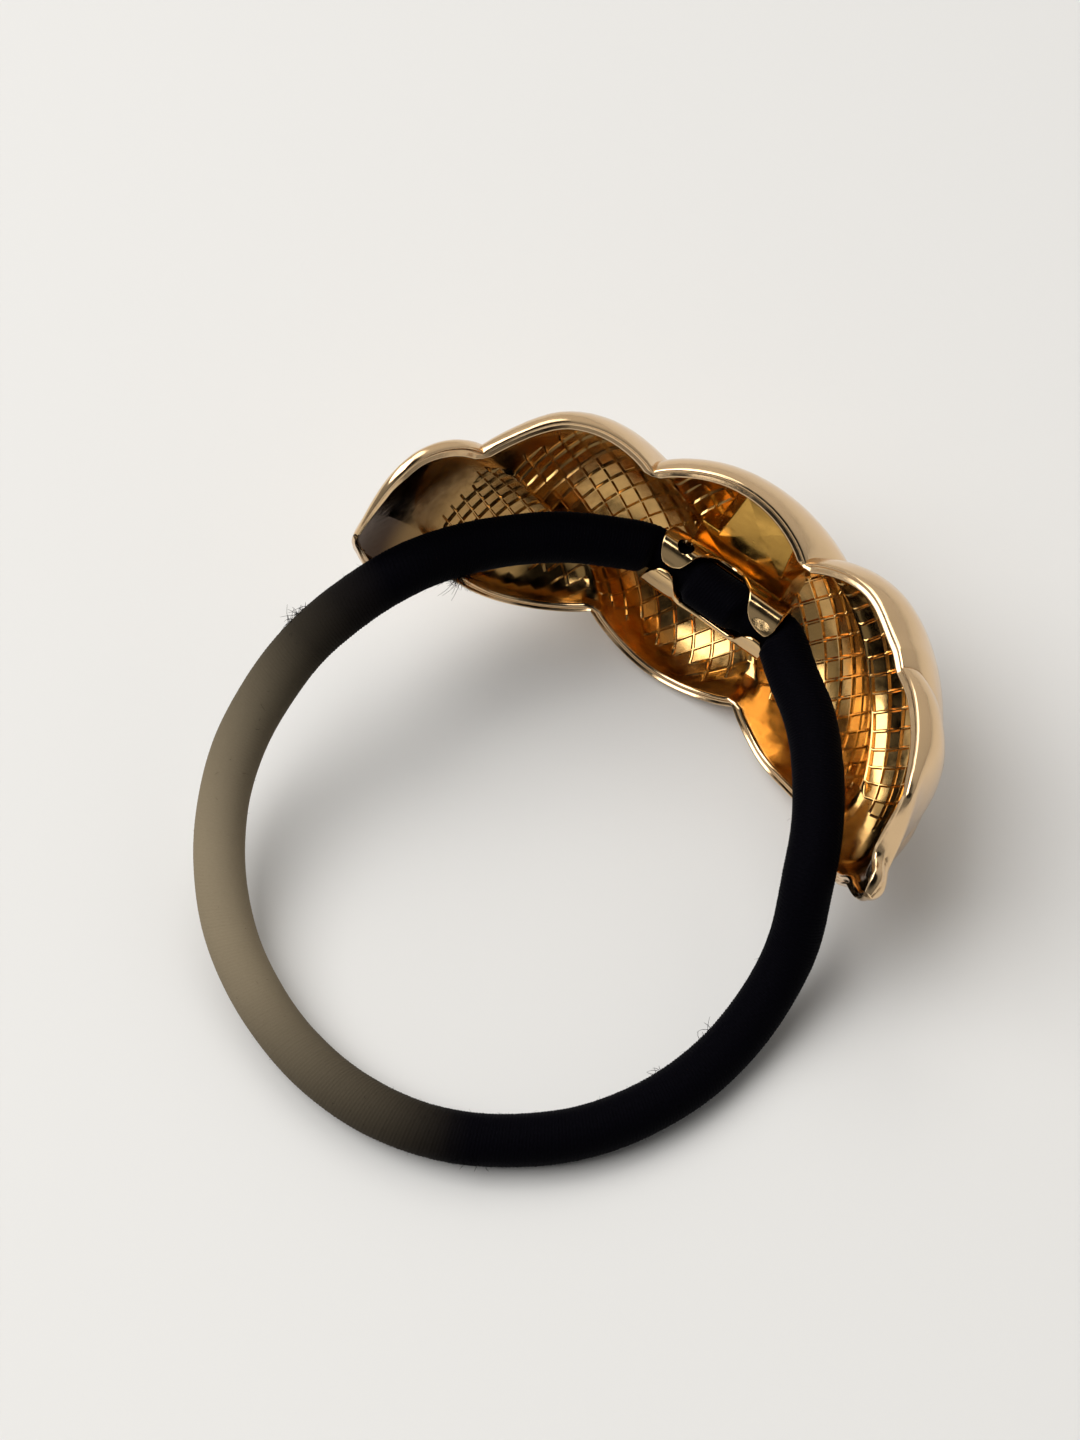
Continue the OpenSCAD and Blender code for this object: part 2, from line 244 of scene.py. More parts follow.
# places along the bridge, then places over the table from the cuff's stand
BRIDGE_ROUTE = [6.9, 3.5, 0, -3.4, -6.6]
HAND_ROUTE = [
    (-7.6, -1.2, 12.4), (-11, -3.6, 13.8), (-14.4, -7, 15.2), (-17.4, -11.2, 16.8), (-19.5, -15.9, 18.6),
    (-21.8, -20.2, 17.4), (-23.7, -24.5, 15.2), (-24.6, -29, 12.6), (-24.6, -33.4, 10.2),
    (-23.4, -37.8, 7.8), (-21, -42, 5.7), (-17.4, -45.8, 4), (-13, -48.6, 2.9), (-8, -50.6, 2.3),
    (-2.6, -51.6, 2.2), (2.6, -51.4, 2.2), (7.6, -50, 2.2), (12.2, -47.4, 2.2), (16, -44.2, 2.2),
    (19, -40.2, 2.2), (21.2, -35.6, 2.2), (22.4, -30.8, 2.4), (22.9, -26.3, 3.9), (22.7, -22.3, 6),
    (21.6, -18.8, 9.9), (19.8, -14.1, 10.5), (17, -9.2, 10.1), (14, -5.4, 9.9), (10.6, -2.6, 9.6)]
# length along the ring at the bridge's middle, as the ring starts at the route's first place
MID = BRIDGE_ROUTE[0]
# points between two places, points of the whole route, and how many to each side round off the places
KNOT_POINTS = 60
ROUTE_POINTS = 2400
ROUNDING = 42
# half the straight run in the bridge, and the stretch over which the rounding sets in after it
STRAIGHT = 6
STRAIGHT_FADES = 3
# the stretch beside the bridge over which the elastic gets its full thickness
SQUEEZE_FADES = 1.6
# how much of the pressed gap the elastic sinks into the bridge
PRESS_SINK = 0.67
# how far the bridge's lugs press into the elastic, by the place along the bridge
PRESS = [(-7.3, 0), (-6.3, 1), (-2.6, 1), (-1.5, 0), (2.1, 0), (3.5, 1), (6.7, 1), (7.7, 0)]


def closed_curve(knots, per_knot):
    """A smooth closed curve through the knots (centripetal Catmull-Rom)."""
    n = len(knots)
    out = []
    for i in range(n):
        p0, p1, p2, p3 = (knots[(i + k) % n] for k in (-1, 0, 1, 2))
        t0 = 0.0
        t1 = t0 + np.linalg.norm(p1 - p0) ** 0.5
        t2 = t1 + np.linalg.norm(p2 - p1) ** 0.5
        t3 = t2 + np.linalg.norm(p3 - p2) ** 0.5
        for t in np.linspace(t1, t2, per_knot, endpoint=False):
            a1 = (t1 - t) / (t1 - t0) * p0 + (t - t0) / (t1 - t0) * p1
            a2 = (t2 - t) / (t2 - t1) * p1 + (t - t1) / (t2 - t1) * p2
            a3 = (t3 - t) / (t3 - t2) * p2 + (t - t2) / (t3 - t2) * p3
            b1 = (t2 - t) / (t2 - t0) * a1 + (t - t0) / (t2 - t0) * a2
            b2 = (t3 - t) / (t3 - t1) * a2 + (t - t1) / (t3 - t1) * a3
            out.append((t2 - t) / (t2 - t1) * b1 + (t - t1) / (t2 - t1) * b2)
    return np.array(out)


def closed_lengths(points):
    """Length along a closed curve at each of its points, and its whole length last."""
    step = np.linalg.norm(np.roll(points, -1, 0) - points, axis=1)
    return np.concatenate([[0], np.cumsum(step)])


def elastic_route():
    """Points of the elastic's axis and the length along it at each."""
    knots = [in_bridge([x, 0, 0]) for x in BRIDGE_ROUTE]
    knots += [np.array(p, float) + [STAND[0], STAND[1], 0] for p in HAND_ROUTE]
    fine = closed_curve(np.array(knots), KNOT_POINTS)
    s = closed_lengths(fine)
    even = np.linspace(0, s[-1], ROUTE_POINTS, endpoint=False)
    fine = between(even, s, np.vstack([fine, fine[:1]]))
    # the listed places are rounded off, but for the straight run in the bridge
    kernel = np.hanning(2 * ROUNDING + 1)
    kernel /= kernel.sum()
    padded = np.concatenate([fine[-ROUNDING:], fine, fine[:ROUNDING]])
    soft = np.stack([np.convolve(padded[:, k], kernel, "valid") for k in range(3)], -1)
    away = np.abs(np.mod(even - MID + s[-1] / 2, s[-1]) - s[-1] / 2)
    fine = fine + (soft - fine) * smooth((away - STRAIGHT) / STRAIGHT_FADES)[:, None]
    return fine, closed_lengths(fine)


class Ring:
    """The elastic's axis by the length along it, in millimetres from the bridge's right end."""

    def __init__(self):
        fine, self.s = elastic_route()
        self.length = self.s[-1]
        self.fine = np.vstack([fine, fine[:1]])
        half_step = 0.4
        self.axes_s = np.linspace(0, self.length, 1201)
        self.along = unit(self.at(self.axes_s + half_step) - self.at(self.axes_s - half_step))
        self.side = unit(np.cross(self.along, [0, 0, 1.0]))

    def at(self, s):
        return between(np.mod(s, self.length), self.s, self.fine)

    def axes(self, s):
        """Directions along the elastic, to its side and up from it."""
        s = np.mod(s, self.length)
        along = unit(between(s, self.axes_s, self.along))
        side = between(s, self.axes_s, self.side)
        side = unit(side - along * np.sum(side * along, -1, keepdims=True))
        return along, side, np.cross(side, along)

    def from_middle(self, s):
        """Length from the bridge's middle, also for places a little before the ring's start."""
        before = 20
        return np.mod(s + before, self.length) - before - MID

    def half(self, s):
        """Half the thickness, which the bridge squeezes."""
        away = np.maximum(np.abs(self.from_middle(s)) - BRIDGE_HALF, 0)
        return SQUEEZED / 2 + (CORD - SQUEEZED) / 2 * smooth(away / SQUEEZE_FADES)

    def pressed(self, s):
        """How far the lugs press in, from 0 to 1."""
        return smooth(at_table(-self.from_middle(s), PRESS))

    def point(self, s, turn, radius):
        """Place at a radius round the axis, by an angle in radians."""
        _, side, up = self.axes(s)
        out = radius[..., None] * (side * np.cos(turn)[..., None] + up * np.sin(turn)[..., None])
        # under the lugs the elastic is flatter and lies deeper in the bridge
        lift = in_bridge([0, 0, 1.0]) - in_bridge([0, 0, 0])
        gap = (SQUEEZED - CRIMPED) / 2
        drop = self.pressed(s) * ((out @ lift) * 2 * gap / SQUEEZED + PRESS_SINK * gap)
        return self.at(s) + out - drop[..., None] * lift


# where the stretch is faded: length along the ring, share of the fading
FADE = [(38, 0), (42, 0.03), (46, 0.11), (51, 0.38), (56, 0.62), (61, 0.85), (66, 1), (73, 1), (78, 0.85),
        (83, 0.57), (88.5, 0.34), (94, 0.17), (97, 0.07), (99.5, 0.01), (101, 0)]
# the wound cover: pitch of its threads, their height and how much it varies, and the shape across a thread
THREAD_PITCH = 0.285
THREAD_HEIGHT = 0.024
THREAD_UNEVEN = 0.25
THREAD_SHAPE = [-1.0, 0.35, 1.0, 0.35]
# number of threads that are wound side by side
THREAD_STARTS = 6
# how far the cover's middle lies inside the elastic's radius, and the height of its slow waves
COVER_INSET = 0.035
COVER_WAVE = 0.008
COVER_SIDES = 20
# the ring's girth as a part of its length
GIRTH_SHARE = 0.085


def cover_map(mesh, shift, count):
    """Texture coordinates: u along the ring and v round it, whole across the seam."""
    uv = mesh.uv_layers.new(name="UVMap")
    corner = np.zeros(len(mesh.loops), np.int32)
    mesh.loops.foreach_get("vertex_index", corner)
    side = corner % COVER_SIDES
    u = (corner // COVER_SIDES + shift[side]) / count
    last_side = np.repeat(np.arange(len(mesh.polygons)) >= count * (COVER_SIDES - 1), 4)
    v = np.where(last_side & (side == 0), 1.0, side / COVER_SIDES)
    first = np.repeat(u.reshape(-1, 4)[:, :1], 4, 1).reshape(-1)
    u = np.where(u - first > 0.5, u - 1, np.where(first - u > 0.5, u + 1, u))
    uv.data.foreach_set("uv", np.stack([u, v * GIRTH_SHARE], 1).reshape(-1).astype(np.float32))


def build_elastic(ring, material):
    """The ring, as a grid sheared along its threads, so that each thread is a row of points."""
    per_thread = len(THREAD_SHAPE)
    threads = int(round(ring.length / THREAD_PITCH))
    count = threads * per_thread
    wrap = THREAD_STARTS * per_thread
    rng = np.random.default_rng(3)
    j, k = np.arange(count), np.arange(COVER_SIDES)
    turn = np.tile(2 * np.pi * k / COVER_SIDES, (count, 1))
    shift = wrap * k / COVER_SIDES
    s = (j[:, None] + shift[None, :]) * ring.length / count
    profile = np.tile(THREAD_SHAPE, threads)
    level = np.repeat(rng.normal(0, THREAD_UNEVEN, threads), per_thread)
    fade = at_table(np.mod(s, ring.length), FADE)
    # the threads are worn flatter where they are faded
    bump = (profile + level)[:, None] * (1 - 0.75 * smooth(fade * 1.6)) * THREAD_HEIGHT
    slow = COVER_WAVE * (np.sin(s * 0.9) + np.sin(s * 0.37 + 2 * turn))
    points = ring.point(s, turn, ring.half(s) - COVER_INSET + bump + slow)

    def number(row, side):
        """Number of a point, where the side after the last is the first one, a turn of the threads on."""
        return (row + wrap * (side // COVER_SIDES)) % count * COVER_SIDES + side % COVER_SIDES

    faces = []
    for b in range(COVER_SIDES):
        corners = [number(j, b), number(j, b + 1), number(j + 1, b + 1), number(j + 1, b)]
        faces += np.stack(corners, 1).tolist()
    piece = make("elastic", points.reshape(-1, 3), faces, material)
    point_values(piece, "faded", fade)
    cover_map(piece.data, shift, count)
    shade(piece, sharp=80)
    return piece


# fine hairs tried all round the ring, half their thickness and that of a tuft's threads, and the taper
HAIRS = 900
HAIR_HALF = 0.011
TUFT_HALF = 0.03
TAPER = 0.6
# how deep a thread's root is in the elastic, and how far above the table it stays
ROOT = 0.06
ABOVE_TABLE = 0.03
# tufts where the cover is frayed: length along the ring, direction round its section, number, reach
TUFTS = [(31.3, -2.75, 80, 2.3), (45.6, 0.25, 34, 1.2), (101.0, 0.05, 22, 1.0),
         (124.0, 2.9, 6, 1.4), (118.0, 2.95, 5, 1.2)]


def hair_mesh(name, paths, halves, material):
    """Fine three-sided threads along short paths, thinner towards their ends."""
    points, faces = [], []
    for path, half in zip(paths, halves):
        n = len(path)
        along = unit(np.gradient(path, axis=0))
        guide = np.array([0.31, 0.22, 0.92]) if abs(along[0][2]) < 0.8 else np.array([0.9, 0.3, 0.1])
        a = unit(np.cross(along, guide))
        b = np.cross(along, a)
        start = len(points)
        for i in range(n):
            r = half * (1 - TAPER * i / (n - 1))
            for q in range(3):
                f = 2 * math.pi * q / 3
                points.append(path[i] + r * (a[i] * math.cos(f) + b[i] * math.sin(f)))
        for i in range(n - 1):
            for q in range(3):
                here, beside = start + 3 * i + q, start + 3 * i + (q + 1) % 3
                faces.append((here, beside, beside + 3, here + 3))
        end = start + 3 * (n - 1)
        faces += [(start, start + 2, start + 1), (end, end + 1, end + 2)]
    piece = make(name, np.array(points), faces, material)
    piece.data.shade_smooth()
    return piece


def build_fuzz(ring, material):
    rng = np.random.default_rng(11)
    paths, halves = [], []

    def strand(s, turn, reach, lean, curl, half, n):
        base = ring.point(np.array([s]), np.array([turn]), ring.half(np.array([s])) - ROOT)[0]
        along, side, up = (a[0] for a in ring.axes(np.array([s])))
        out = side * math.cos(turn) + up * math.sin(turn)
        round_it = np.cross(along, out)
        d = unit(out * (1 - abs(lean) * 0.5) + round_it * lean + along * curl)
        bend = along * rng.normal(0, 0.7) + round_it * rng.normal(0, 0.7) - out * rng.uniform(0.1, 0.9)
        f = np.linspace(0, 1, n)[:, None]
        path = base + d * reach * f + bend * reach * 0.55 * f ** 2
        path[:, 2] = np.maximum(path[:, 2], ABOVE_TABLE)
        paths.append(path)
        halves.append(half)

    for _ in range(HAIRS):
        s = rng.uniform(14, ring.length - 2)
        # few hairs are left on the faded stretch
        if at_table(s, FADE) > 0.25 and rng.uniform() < 0.8:
            continue
        strand(s, rng.uniform(0, 2 * math.pi), rng.uniform(0.12, 0.5),
               rng.normal(0, 0.9), rng.normal(0, 0.5), HAIR_HALF, 4)
    for s0, turn0, number, reach in TUFTS:
        for _ in range(number):
            strand(s0 + rng.normal(0, 0.45), turn0 + rng.normal(0, 0.3), reach * rng.uniform(0.3, 1.0),
                   rng.normal(0, 0.5), rng.normal(0, 0.6), TUFT_HALF, 8)
    return hair_mesh("loose_threads", paths, halves, material)


# Cuff

# width to the upper rim and to the lower rim, and depth, as parts of the largest, by the angle along the arc
UPPER_SHARE = [
    (-74.9, 0.02), (-74.6, 0.12), (-73.9, 0.29), (-72.6, 0.49), (-70, 0.65), (-66, 0.745), (-50, 0.9),
    (-37, 1.02), (-3, 1.02), (30, 1.09), (47, 1.06), (60, 0.94), (68, 0.86), (72, 0.82), (73.3, 0.75),
    (74, 0.6), (74.5, 0.38), (75.2, 0.21), (76.5, 0.175), (78.7, 0.16), (80, 0.12), (81, 0.05), (81.3, 0.02)]
LOWER_SHARE = [
    (-74.9, 0.02), (-74.5, 0.07), (-73, 0.19), (-71.5, 0.29), (-67, 0.5), (-60, 0.73), (-44, 0.87),
    (-30, 0.9), (1, 1.01), (27, 0.94), (38, 0.84), (60, 0.71), (68, 0.5), (73, 0.31), (77, 0.24),
    (79.3, 0.165), (80.6, 0.09), (81.3, 0.02)]
DEPTH_SHARE = [
    (-74.9, 0.02), (-73, 0.08), (-71, 0.12), (-60, 0.22), (-45, 0.38), (-20, 0.79), (0, 0.87), (20, 1.03),
    (45, 0.85), (60, 0.6), (72, 0.2), (76, 0.17), (79, 0.15), (81.3, 0.07)]
# width of the rolled upper and lower rim, in millimetres, by the angle along the arc
UPPER_RIM = [
    (-74.9, 0.4), (-73.5, 0.9), (-71, 1.35), (-60, 1.35), (-45, 1.1), (-20, 1), (30, 1.1), (50, 1.3),
    (70, 1.3), (74.5, 1), (77, 0.8), (80, 0.65), (81.3, 0.4)]
LOWER_RIM = [
    (-74.9, 0.35), (-73, 0.42), (-69, 0.6), (-64, 1), (71, 1), (76, 0.8), (80, 0.65), (81.3, 0.4)]
upper_width, lower_width, depth_along = (SmoothTable(t) for t in (UPPER_SHARE, LOWER_SHARE, DEPTH_SHARE))

# sections along the arc: a whole lobe holds nine, and the last three before each tip are listed
CELLS = 9
MAIN_SECTIONS = 21
LAST_SECTION = 24
LEFT_TAIL = [74.4, 74.68, 74.88]
RIGHT_TAIL = [76.6, 78.9, 81.28]
# the upper rim's scallops are shallower by this part from this angle on, and fully so after a few degrees
SHALLOWER = 0.65
SHALLOWER_FROM = 35
SHALLOWER_OVER = 8
# the rims rise in the right end's finger: by how much, from which angle, over how many degrees
FINGER_RISE = 0.45
FINGER_FROM = 73
FINGER_OVER = 6
# places at which a rim's facing is worked out, and to how many on each side its corners are rounded
RIM_PLACES = 4801
RIM_SOFT = 12
# where the twist leads away from a tip it fades out from this angle on, and else over this longer stretch
TWIST_FADES = 65
TWIST_FADES_OVER = 36
# rows across the hollow: the last one, and how far past the first and the last one the rims lie
LAST_ROW = 20
RIM_ROW = 0.55
# where the crosshatch begins and ends along the arc
HATCH_LEFT = -46
HATCH_RIGHT = 62
# where it begins and ends across the hollow, by the angle along the arc
HATCH_FOOT = [(-50, -60), (-32, -74), (-18, -80), (-8, -62), (0, -67), (12, -78), (18, -56), (26, -62),
              (38, -60), (47, -40), (62, -35)]
HATCH_TOP = [(-50, 40), (-44, 25), (-36, 40), (-30, 78), (-14, 78), (-10, 45), (8, 50), (14, 78), (62, 80)]
# the stretch round the socket without ribs: along the arc in steps of two degrees, and across it
BARE_ALONG = (-3.6, 4.9)
BARE_ACROSS = (-3.2, 8.4)
# a rib's half foot in cells, and how much of it is flank
RIB_FOOT = 0.105
RIB_FLANK = 0.075
# the mesh's lines in a cell: four down from a rib's middle, one on the ground, three up the next rib
IN_CELL = np.array([0, 0.03, 0.065, 0.105, 0.5, 0.895, 0.935, 0.97])
# rows of the outside, and rows of a rolled rim between the outside and the inside
OUTER_ROWS = np.linspace(-90, 90, 49)
BEAD_ROWS = np.arange(9, 179, 9.0)


def section_turn(u):
    """Angle along the arc of section u, before the twist."""
    a = np.abs(u)
    edge = SPAN * sin_d(STEP * MAIN_SECTIONS / CELLS)
    main = SPAN * sin_d(STEP * np.minimum(a, MAIN_SECTIONS) / CELLS)
    tail = np.arange(MAIN_SECTIONS, LAST_SECTION + 1)
    left = np.interp(a, tail, [edge, *LEFT_TAIL])
    right = np.interp(a, tail, [edge, *RIGHT_TAIL])
    return np.sign(u) * np.where(a <= MAIN_SECTIONS, main, np.where(u < 0, left, right))


def turn_at(u, f):
    """Angle along the arc of section u at angle f, from the lower rim at -90 to the upper rim at 90."""
    a, t = section_turn(u), sin_d(f)
    end = np.where(a < 0, LEFT_END, RIGHT_END)
    fades_over = np.where(a * t > 0, end - TWIST_FADES, TWIST_FADES_OVER)
    return a - TWIST * t * np.clip((end - np.abs(a)) / fades_over, 0, 1)


def lobe(turn, t):
    """0 in a groove and 1 on a lobe, at a share t of the half width."""
    k = np.degrees(np.arcsin(np.clip((turn + TWIST * t) / SPAN, -1, 1))) / STEP
    return np.abs(sin_d(180 * k)) ** 0.8


def half_at(turn, t):
    """Half the width at a share t of it, from the lower rim at -1 to the upper rim at 1."""
    share = (t + 1) / 2
    shallower = SHALLOWER * share * np.clip((turn - SHALLOWER_FROM) / SHALLOWER_OVER, 0, 1)
    scallop = SCALLOP * (1 - shallower)
    wide = lower_width(turn) * (1 - share) + upper_width(turn) * share
    return HALF_WIDTH * wide * (1 - scallop * (1 - lobe(turn, t)))


def depth_at(turn, t):
    return LOBE_DEPTH * depth_along(turn) * (GROOVE_SHARE + (1 - GROOVE_SHARE) * lobe(turn, t))


def row_angle(m):
    """Angle f of row m of the crosshatch: the middle row lies at the bottom of the dome."""
    m = m - LAST_ROW / 2
    return np.clip(7.2 * m + 0.012 * m ** 3, -90, 90)


def polar(turn, radius, w):
    turn, radius, w = np.broadcast_arrays(turn, radius, w)
    return np.stack([radius * sin_d(turn), radius * cos_d(turn), w], -1)


def rim_radius(turn):
    """Radius of the rims, which rises a little in the right end's finger."""
    return ARC_RADIUS + FINGER_RISE * smooth((turn - FINGER_FROM) / FINGER_OVER)


def outer_point(u, f):
    t = sin_d(f)
    turn = turn_at(u, f)
    return polar(turn, rim_radius(turn) + depth_at(turn, t) * cos_d(f), half_at(turn, t) * t)


class Rim:
    """Which way the rim faces and how wide it is, in the arc's unrolled surface, by the section."""

    def __init__(self, side):
        self.u = np.linspace(-LAST_SECTION, LAST_SECTION, RIM_PLACES)
        turn = turn_at(self.u, 90.0 * side)
        along = np.gradient(np.radians(turn) * ARC_RADIUS)
        across = np.gradient(side * half_at(turn, side))
        size = np.hypot(along, across) + TINY
        self.facing = [softened(v / size, RIM_SOFT) for v in (-side * across, side * along)]
        self.width = at_table(turn, UPPER_RIM if side > 0 else LOWER_RIM)

    def at(self, u):
        """The rim's facing along the arc and across it, and its width."""
        return [np.interp(u, self.u, v) for v in (*self.facing, self.width)]


rims = {side: Rim(side) for side in (1, -1)}


def inner_point(u, f):
    """Place on the inside, which stands back from the outside by the rim's width and the wall."""
    t = sin_d(f)
    turn = turn_at(u, f)
    h, d = half_at(turn, t), depth_at(turn, t)
    thin = np.minimum(WALL, 0.55 * d)
    upper, lower = (rims[side].at(u) for side in (1, -1))
    along, across, wide = (np.where(t > 0, p, q) for p, q in zip(upper, lower))
    back = wide * np.abs(t)
    shifted = turn - np.degrees(along * back / ARC_RADIUS)
    return polar(shifted, rim_radius(turn) + (d - thin) * cos_d(f), h * t - across * back)


def inner_out(u, f):
    """Direction out of the inside surface, towards the hollow."""
    turn = turn_at(u, f)
    return np.stack([-cos_d(f) * sin_d(turn), -cos_d(f) * cos_d(turn), -sin_d(f)], -1)


def bead_point(u, side, b):
    """Place on the rolled rim at angle b, from the outside at 0 to the inside at 180."""
    turn = turn_at(u, 90.0 * side)
    along, across, rim_wide = rims[side].at(u)
    r = rim_wide / 2
    cb, sb = cos_d(b), sin_d(b)
    back = r - r * np.sign(cb) * np.abs(cb) ** 0.8
    # the rim has two fine lips with a channel between them
    high = np.abs(sb) ** 0.55 * (1 - 0.42 * np.exp(-((cb - 0.1) / 0.3) ** 2))
    shifted = turn - np.degrees(along * back / ARC_RADIUS)
    return polar(shifted, rim_radius(turn) - r * high, side * half_at(turn, side) - across * back)


def raised(i, m):
    """1 where the crosshatch's crossing of section i and row m stands out, and 0 elsewhere."""
    f = row_angle(m)
    turn = turn_at(i, f)
    p = inner_point(i, f)
    along = (np.degrees(np.arctan2(p[..., 0], p[..., 1])) - BRIDGE_TURN) / 2
    across = p[..., 2]
    bare = (along > BARE_ALONG[0]) & (along < BARE_ALONG[1])
    bare &= (across > BARE_ACROSS[0]) & (across < BARE_ACROSS[1])
    left = HATCH_LEFT + np.maximum(-20 - f, 0) * 0.5 - np.maximum(20 - np.abs(f + 20), 0) * 0.2
    here = (turn > left) & (turn < HATCH_RIGHT + 0.1 * f)
    here &= (f > at_table(turn, HATCH_FOOT)) & (f < at_table(turn, HATCH_TOP))
    return (here & ~bare & (np.abs(i) < LAST_SECTION) & (m >= 0) & (m <= LAST_ROW)).astype(float)


def rib_profile(x):
    """Height of a rib at x cells from its middle, from 0 to 1."""
    return smooth((RIB_FOOT - np.abs(x)) / RIB_FLANK)


def rib_height(u, m):
    """How far the crosshatch stands out at section u and row m."""
    sections, rows = np.arange(-25, 26), np.arange(-3, 25)
    grid = raised(sections[:, None].astype(float), rows[None, :].astype(float))

    def crossing(i, k):
        i = np.clip(i, sections[0], sections[-1]).astype(int) - sections[0]
        k = np.clip(k, rows[0], rows[-1]).astype(int) - rows[0]
        return grid[i, k]

    # ribs that run along a section, and ribs that cross the sections; both fade towards a flat crossing
    near_u, near_v = np.round(u), np.round(m - u)
    low_u, low_m = np.floor(u + 1e-6), np.floor(m + 1e-6)
    part_u, part_m = np.clip(u - low_u, 0, 1), m - low_m
    with_u = crossing(near_u, low_m) * (1 - part_m) + crossing(near_u, low_m + 1) * part_m
    with_v = crossing(low_u, low_u + near_v) * (1 - part_u) + crossing(low_u + 1, low_u + 1 + near_v) * part_u
    along_u = rib_profile(u - near_u) * smooth(with_u * 1.4)
    along_v = rib_profile(m - u - near_v) * smooth(with_v * 1.4)
    return RIB * np.maximum(along_u, along_v)


def cuff_sections():
    """Sections of the mesh: eight to a cell, fewer in the left end, more in the right end's shoulder."""
    plain = np.arange(0, 5, 0.25)
    cells = (np.arange(-19, 19)[:, None] + IN_CELL[None, :]).reshape(-1)
    shoulder = np.concatenate([np.arange(22, 22.25, 0.12), np.arange(22.25, 22.92, 0.05)])
    tip = np.concatenate([np.arange(23, 23.65, 0.15), [23.75, 23.84, 23.91, 23.96, 24]])
    return np.concatenate([plain - LAST_SECTION, cells, 19 + plain[:12], shoulder, tip])


def hollow_faces(number):
    """Faces over a table of point numbers, in which the places past a rim all have the rim's number."""
    faces = []
    for q in grid_faces(number).tolist():
        kept = [q[k] for k in range(4) if q[k] != q[k - 1]]
        if len(kept) == len(set(q)) > 2:
            faces.append(kept)
    return faces


def painted_end_shade(turn):
    """Painted shade and painted reflection of the black elastic: the hollow's two ends are darker, by the
    angle along the arc.
    """
    left = 0.6 * smooth((-46 - turn) / 9) + 0.4 * smooth((-57 - turn) / 7)
    return left + 0.8 * smooth((turn - 46) / 16)


def build_cuff(outside, inside):
    """The shell, as a grid sheared along the crosshatch inside, the plain outside, two rims and two caps."""
    points = []

    def add_points(grid):
        """Adds a grid of points and gives their numbers."""
        first = sum(len(p) for p in points)
        points.append(grid.reshape(-1, 3))
        return first + np.arange(grid.shape[0] * grid.shape[1]).reshape(grid.shape[:2])

    u = cuff_sections()
    v = (np.arange(-25, 46)[:, None] + IN_CELL[None, :]).reshape(-1)
    uu, vv = np.meshgrid(u, v, indexing="ij")
    row = uu + vv
    m = np.clip(row, -RIM_ROW, LAST_ROW + RIM_ROW)
    f = row_angle(m)
    number = add_points(inner_point(uu, f) + inner_out(uu, f) * rib_height(uu, m)[..., None])
    low, high = row <= -RIM_ROW, row >= LAST_ROW + RIM_ROW
    last_low, first_high = low.sum(1) - 1, len(v) - high.sum(1)
    columns = np.arange(len(u))
    low_edge, high_edge = number[columns, last_low], number[columns, first_high]
    number = np.where(low, low_edge[:, None], np.where(high, high_edge[:, None], number))
    faces = hollow_faces(number)
    inner_faces = len(faces)

    outer = add_points(outer_point(u[:, None], OUTER_ROWS[None, :]))
    strip = {}
    for side, outer_edge, inner_edge in ((-1, outer[:, 0], low_edge), (1, outer[:, -1], high_edge)):
        bead = add_points(bead_point(u[:, None], side, BEAD_ROWS[None, :]))
        strip[side] = np.concatenate([outer_edge[:, None], bead, inner_edge[:, None]], 1)
    for table in (outer, strip[-1], strip[1]):
        faces += grid_faces(table).tolist()
    for c in (0, len(u) - 1):
        across = number[c, last_low[c]:first_high[c] + 1]
        loop = [outer[c], strip[1][c, 1:-1], across[::-1], strip[-1][c, -2:0:-1]]
        loop = np.concatenate(loop).tolist()
        faces.append([x for k, x in enumerate(loop) if x != loop[k - 1]])

    points = np.concatenate(points)
    used = np.unique(np.concatenate([np.array(face) for face in faces]))
    renumber = np.full(len(points), -1)
    renumber[used] = np.arange(len(used))
    faces = [renumber[face].tolist() for face in faces]
    points = points[used]
    piece = make("cuff", on_table(points), faces, outside)
    piece.data.materials.append(inside)
    which = (np.arange(len(piece.data.polygons)) < inner_faces).astype(np.int32)
    piece.data.polygons.foreach_set("material_index", which)
    # painted shade and painted reflection of the black elastic, darkest at the hollow's two ends
    point_values(piece, "painted_shade_share", painted_end_shade(np.degrees(np.arctan2(points[:, 0], points[:, 1]))))
    shade(piece, sharp=26)
    return piece


# Socket for the bridge, in the bridge's frame: a seat below it and a lip beside it

SEAT_TOP = [(-4.2, -3.3), (5, -3.3), (5, 3.6), (-4.2, 3.6)]
SEAT_FOOT = [(-5.2, -4.2), (5.8, -4.2), (5.8, 4.0), (-5.2, 4.0)]
LIP_TOP = [(-2.4, 3.6), (4.2, 3.6), (3.8, 9.2), (-1.8, 9.2)]
LIP_FOOT = [(-4.6, 3.6), (6.6, 3.6), (6.4, 10), (-4.4, 10)]
LIP_LEVEL = -2.0
SEAT_ROUND = 0.15
LIP_ROUND = 0.2
# level of the foot's outline, which is below the wall, and how far into the wall the sides run
FOOT_LEVEL = -9.0
FOOT_DEPTH = 0.12
# points to a side, steps of the rounded edge in degrees, and steps down the sides
SIDE_POINTS = 24
EDGE_STEPS = (0, 22, 45, 68, 90)
SIDE_STEPS = (0.33, 0.66, 1.0)


def wall_depth(x, y, z):
    """How far a place lies into the cuff's wall: 0 at the inside surface, 1 at the outside."""
    c, s = cos_d(BRIDGE_TURN), sin_d(BRIDGE_TURN)
    r = BRIDGE_RADIUS - z
    px, py = x * c + r * s, -x * s + r * c
    turn = np.degrees(np.arctan2(px, py))
    radius = np.hypot(px, py)
    t = np.clip(y / 10.0, -0.99, 0.99)
    for _ in range(6):
        t = np.clip(y / half_at(turn, t), -0.999, 0.999)
    d = depth_at(turn, t)
    f = np.sqrt(np.maximum(1 - t * t, 0.01))
    return (radius - ARC_RADIUS - (d - WALL) * f) / (WALL * f)


